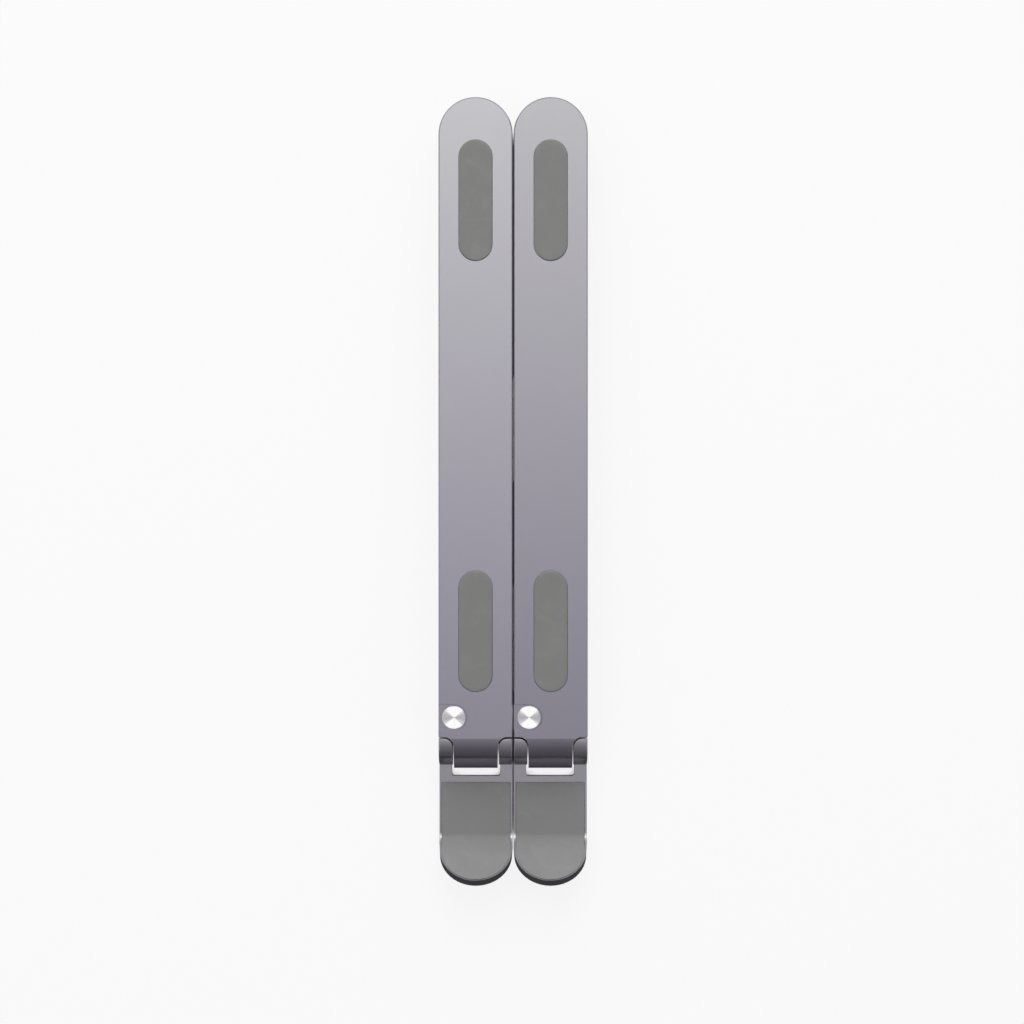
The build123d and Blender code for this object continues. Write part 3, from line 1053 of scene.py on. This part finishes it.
@dataclass
class HalfStand:
    """One half of the stand: rail, base, hook, pads, feet, leg and their pins."""

    side: Side
    finishes: Finishes
    pad_rim: float = 0.35 * MM
    foot_rim: float = 0.3 * MM
    foot_dish: float = 0.12 * MM
    rivet_sharp_over: float = 25.0

    def _name(self, part: str) -> str:
        """Name of this half's node for a part."""
        return f"{self.side.value}_{part}"

    def build(self) -> None:
        """Dress the CAD nodes that stay, and model the pieces that replace the others."""
        self._dress_metal()
        self._lay_rail_pads()
        self._line_hook()
        self._fit_feet()
        self._set_rivet()

    def _dress_metal(self) -> None:
        """Dress the rail, base, leg and pins."""
        dress(self._name("rail"), self.finishes.rail[self.side])
        dress(self._name("base"), self.finishes.base)
        dress(self._name("leg"), self.finishes.leg)
        for part in ("hinge_pin", "leg_pin", "pivot_spacer"):
            dress(self._name(part), self.finishes.pin)

    def _lay_rail_pads(self) -> None:
        """Model the two silicone pads in the rail."""
        for place in ("front", "rear"):
            node = self._name(f"rail_{place}_pad")
            pad = StadiumPad(node, self.pad_rim, dished_up=True)
            piece = finish_mesh(f"{node}_moulded", pad.shape(), self.finishes.pad)
            seat(piece, node, self._name("upper"))

    def _line_hook(self) -> None:
        """Model the hook's lining."""
        node = self._name("hook_pad")
        piece = finish_mesh(f"{node}_moulded", HookLining(node).shape(), self.finishes.lining)
        seat(piece, node, self._name("lower"))

    def _fit_feet(self) -> None:
        """Model the two rubber feet."""
        front = self._name("front_foot")
        piece = finish_mesh(f"{front}_moulded", FrontFoot(front).shape(), self.finishes.foot)
        seat(piece, front, self._name("lower"))
        rear = self._name("rear_foot")
        foot = StadiumPad(rear, self.foot_rim, dished_up=False, dish=self.foot_dish)
        piece = finish_mesh(f"{rear}_moulded", foot.shape(), self.finishes.foot)
        seat(piece, rear, self._name("lower"))

    def _set_rivet(self) -> None:
        """Model the turned pivot rivet."""
        node = self._name("pivot_rivet")
        rivet = PivotRivet(node)
        steel = TurnedSteel(f"{node}_steel").build(self.finishes.effects, rivet.axis())
        piece = finish_mesh(f"{node}_turned", rivet.shape(), steel, self.rivet_sharp_over)
        seat(piece, node, self._name("upper"))


@dataclass
class CrossedBars:
    """The two bars that spread the halves, with their middle rivet and sliding pins."""

    finishes: Finishes

    def _lean(self) -> float:
        """Angle between a folded bar and the rails, from the two pivot rivets and a bar."""
        low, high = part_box("upper_cross_bar")
        left_low, left_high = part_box("left_pivot_rivet")
        right_low, right_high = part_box("right_pivot_rivet")
        across = (right_low.x + right_high.x - left_low.x - left_high.x) / 2
        bar_width = high.x - low.x - across
        return math.atan2(across, high.y - low.y - bar_width)

    def build(self) -> None:
        """Dress the bars, brushed along their length, and the pins."""
        lean = self._lean()
        for node, turn in (("upper_cross_bar", lean), ("lower_cross_bar", -lean)):
            dress(node, BrushedSteel(f"{node}_steel", turn=turn).build(self.finishes.effects))
        for node in ("cross_rivet", "cross_washer", "upper_slide_pin", "lower_slide_pin"):
            dress(node, self.finishes.pin)


# Set


@dataclass
class PaleFloor:
    """Floor that looks white, keeps the stand's soft shadow and has painted shade in its narrow
    gaps.
    """

    size: float = 8.0
    colour: Colour = (0.86, 0.86, 0.86, 1.0)
    glow: float = 0.86
    gap_reach: float = 20.0 * MM
    gap_samples: int = 32
    gap_shade: Range = (0.08, 0.13)
    mirrored_level: Range = (1.0, 0.09)
    mirrored_gap_samples: int = 4
    mirrored_gap_shade: Range = (0.15, 0.35)
    card_front: Range = (-0.07, -0.10)
    card_half_width: Range = (0.03, 0.16)

    def lay(self) -> None:
        """Lay the floor under the stand."""
        shape = bmesh.new()
        bmesh.ops.create_grid(shape, x_segments=1, y_segments=1, size=self.size / 2)
        floor = finish_mesh("floor", shape, self._material())

    def _material(self) -> bpy.types.Material:
        """Build the material, with one look for the camera, one for metal and one as soft light.

        Returns:
            The material.
        """
        material, graph, principled = new_material("pale_floor")
        material.node_tree.nodes.remove(principled)
        rays = graph.add("ShaderNodeLightPath").outputs
        lit = graph.add("ShaderNodeBsdfDiffuse", {"Color": self.colour}).outputs["BSDF"]
        open_floor = self._openness(graph, self.gap_samples, self.gap_shade)
        # Painted shade: the glow dims in the stand's narrow gaps
        shown = graph.mix_shaders(self.glow, lit, self._glow(graph, open_floor))
        mirrored = self._glow(graph, self._mirrored(graph))
        unseen = graph.mix_shaders(rays["Is Glossy Ray"], lit, mirrored)
        seen = graph.maths("MAXIMUM", rays["Is Camera Ray"], rays["Is Transmission Ray"])
        surface = graph.mix_shaders(seen, unseen, shown)
        graph.join(surface, material.node_tree.nodes["Material Output"].inputs["Surface"])
        return material

    @staticmethod
    def _glow(graph: NodeGraph, strength: Socket) -> Socket:
        """Add a white glow.

        Args:
            graph: The floor's graph.
            strength: The glow's strength.

        Returns:
            The socket of the shader.
        """
        glow = graph.add("ShaderNodeEmission")
        graph.join(strength, glow.inputs["Strength"])
        return glow.outputs["Emission"]

    def _openness(self, graph: NodeGraph, samples: int, shade: Range) -> Socket:
        """Tell open floor from floor in the stand's gaps.

        Args:
            graph: The floor's graph.
            samples: How many rays look for the stand.
            shade: The share of free rays at which the floor is dark, and at which it is open.

        Returns:
            The socket of a level, 0 in a gap and 1 on open floor.
        """
        free = graph.add(
            "ShaderNodeAmbientOcclusion", {"Distance": self.gap_reach}, samples=samples
        )
        return graph.remap(free.outputs["AO"], shade)

    def _mirrored(self, graph: NodeGraph) -> Socket:
        """Level of the floor that the metal mirrors, with a dark card in front of the hooks and
        painted shade in the stand's gaps.

        Args:
            graph: The floor's graph.

        Returns:
            The socket of the level.
        """
        axes = graph.axes(graph.own_place())
        ahead = graph.remap(axes["Y"], self.card_front)
        sideways = graph.maths("ABSOLUTE", axes["X"])
        between = graph.remap(sideways, self.card_half_width, (1.0, 0.0))
        card = graph.maths("MULTIPLY", ahead, between)
        level = graph.remap(card, (0.0, 1.0), self.mirrored_level)
        # Painted shade: the mirrored glow dims in the stand's narrow gaps
        shade = self._openness(graph, self.mirrored_gap_samples, self.mirrored_gap_shade)
        return graph.maths("MULTIPLY", level, shade)


@dataclass
class Surround:
    """White surround that the metal mirrors as a soft box and dark cards.

    mirrored_along pairs a ray's lean towards the far end with a level. Each range says where,
    in the ray's direction, a level starts to change and where it has changed.
    """

    sky_level: float = 0.5
    sky_lean: float = 1.0
    mirrored_gain: float = 3.0
    mirrored_along: tuple[Stop, ...] = (
        (-1.0, 0.003), (-0.97, 0.053), (-0.87, 0.057), (-0.8, 0.067), (-0.7, 0.093),
        (-0.6, 0.115), (-0.5, 0.11), (-0.4, 0.153), (-0.3, 0.185), (-0.16, 0.187),
        (-0.11, 0.227), (-0.06, 0.297), (-0.02, 0.343), (0.02, 0.39), (0.06, 0.443),
        (0.1, 0.48), (0.14, 0.5), (0.2, 0.567), (0.27, 0.88), (0.35, 1.0),
        (0.43, 1.0), (0.52, 0.62), (0.6, 0.4), (0.8, 0.3), (1.0, 0.27),
    )
    side_card: float = 0.05
    side_card_start: Range = (0.1, 0.3)
    side_card_width: Range = (0.35, 0.9)
    plain_from: Range = (0.5, 0.75)
    front_plain_from: Range = (0.18, 0.36)
    front_from: Range = (-0.2, -0.45)
    plain_colour: Colour = (1.0, 1.0, 1.0, 1.0)
    warm_colour: Colour = (1.0, 1.08, 0.91, 1.0)
    warm_from: Range = (0.0, 0.12)
    warm_until: Range = (0.35, 0.6)

    def light(self) -> None:
        """Make the surround the scene's world."""
        world = bpy.data.worlds.new("studio_surround")
        bpy.context.scene.world = world
        world.use_nodes = True
        graph = NodeGraph(world.node_tree)
        rays = graph.add("ShaderNodeLightPath").outputs
        axes = graph.axes(graph.add("ShaderNodeTexCoord").outputs["Generated"])
        seen = graph.maths("MAXIMUM", rays["Is Camera Ray"], rays["Is Transmission Ray"])
        leaning = graph.maths(
            "MULTIPLY_ADD", axes["Y"], self.sky_level * self.sky_lean, self.sky_level
        )
        unmirrored = graph.mix(seen, leaning, 1.0, "FLOAT")
        glossy = rays["Is Glossy Ray"]
        strength = graph.mix(glossy, unmirrored, self._mirrored(graph, axes), "FLOAT")
        far = graph.remap(axes["Y"], self.warm_from)
        low = graph.remap(axes["Y"], self.warm_until, (1.0, 0.0))
        warm = graph.maths("MULTIPLY", graph.maths("MULTIPLY", far, low), glossy)
        sky = world.node_tree.nodes["Background"]
        graph.join(graph.mix(warm, self.plain_colour, self.warm_colour), sky.inputs["Color"])
        graph.join(strength, sky.inputs["Strength"])

    def _mirrored(self, graph: NodeGraph, axes: bpy.types.NodeOutputs) -> Socket:
        """Level that the metal mirrors.

        It is bright above the far end and darker towards the hooks, with a dark card at each
        side. Further out to the sides it is a plain 1.

        Args:
            graph: The world's graph.
            axes: The ray's direction.

        Returns:
            The socket of the level.
        """
        lengthwise = graph.maths("MULTIPLY_ADD", axes["Y"], 0.5, 0.5)
        stops = tuple(((1.0 + lean) / 2, level) for lean, level in self.mirrored_along)
        along = graph.maths("MULTIPLY", graph.ramp(lengthwise, stops), self.mirrored_gain)
        sideways = graph.maths("ABSOLUTE", axes["X"])
        shaped = graph.maths("MULTIPLY", along, self._side_cards(graph, axes, sideways))
        in_front = graph.maths(
            "MULTIPLY",
            graph.remap(sideways, self.front_plain_from),
            graph.remap(axes["Y"], self.front_from),
        )
        outside = graph.maths("MAXIMUM", in_front, graph.remap(sideways, self.plain_from))
        return graph.mix(outside, shaped, 1.0, "FLOAT")

    def _side_cards(
        self, graph: NodeGraph, axes: bpy.types.NodeOutputs, sideways: Socket
    ) -> Socket:
        """Factor that darkens what the metal mirrors straight to the left and right.

        Args:
            graph: The world's graph.
            axes: The ray's direction.
            sideways: How far the ray turns to either side.

        Returns:
            The socket of the factor.
        """
        outward = graph.remap(sideways, self.side_card_start)
        lean = graph.maths("DIVIDE", graph.maths("ABSOLUTE", axes["Y"]), sideways)
        beside = graph.remap(lean, self.side_card_width, (1.0, 0.0))
        card = graph.maths("MULTIPLY", outward, beside)
        return graph.remap(card, (0.0, 1.0), (1.0, self.side_card))


@dataclass
class Studio:
    """Floor, surround, soft lamps and the camera that looks straight down on the stand."""

    camera_place: Place = (-0.344 * MM, -6.0 * MM, 729.0 * MM)
    lens: float = 82.41
    sensor_width: float = 36.0
    clip_start: float = 10.0 * MM
    key_power: float = 10.2
    key_place: Place = (0.0, 1.15, 0.75)
    key_size: float = 1.1
    fill_power: float = 1.8
    fill_place: Place = (-0.7, -0.3, 1.2)
    fill_size: float = 1.2

    def build(self) -> None:
        """Set up the view transform, floor, surround, lamps and camera."""
        bpy.context.scene.view_settings.view_transform = "Standard"
        PaleFloor().lay()
        Surround().light()
        self._hang_lamp("key_softbox", self.key_place, self.key_size, self.key_power)
        self._hang_lamp("fill_softbox", self.fill_place, self.fill_size, self.fill_power)
        self._aim_camera()
        log.info("studio: floor, surround, two lamps and camera")

    def _hang_lamp(self, name: str, place: Place, size: float, power: float) -> None:
        """Hang one square softbox that faces the stand and doesn't mirror in it.

        Args:
            name: The lamp's name.
            place: Where it hangs.
            size: The length of its side.
            power: Its power in watts.
        """
        lamp = bpy.data.lights.new(name, "AREA")
        lamp.size = size
        lamp.energy = power
        holder = bpy.data.objects.new(name, lamp)
        holder.visible_glossy = False
        holder.location = place
        holder.rotation_euler = (-Vector(place)).to_track_quat("-Z", "Y").to_euler()
        bpy.context.scene.collection.objects.link(holder)

    def _aim_camera(self) -> None:
        """Put the camera straight above the stand, with the rails' far end up."""
        camera = bpy.data.cameras.new("overhead_camera")
        camera.lens = self.lens
        camera.sensor_width = self.sensor_width
        camera.clip_start = self.clip_start
        holder = bpy.data.objects.new("overhead_camera", camera)
        holder.location = self.camera_place
        bpy.context.scene.collection.objects.link(holder)
        bpy.context.scene.camera = holder


def main() -> None:
    """Build the stand's halves, its bars and the set."""
    logging.basicConfig(level=logging.INFO, format="%(name)s: %(message)s")
    finishes = Finishes(SharedEffects())
    for side in Side:
        HalfStand(side, finishes).build()
    CrossedBars(finishes).build()
    Studio().build()


if __name__ == "__main__":
    main()
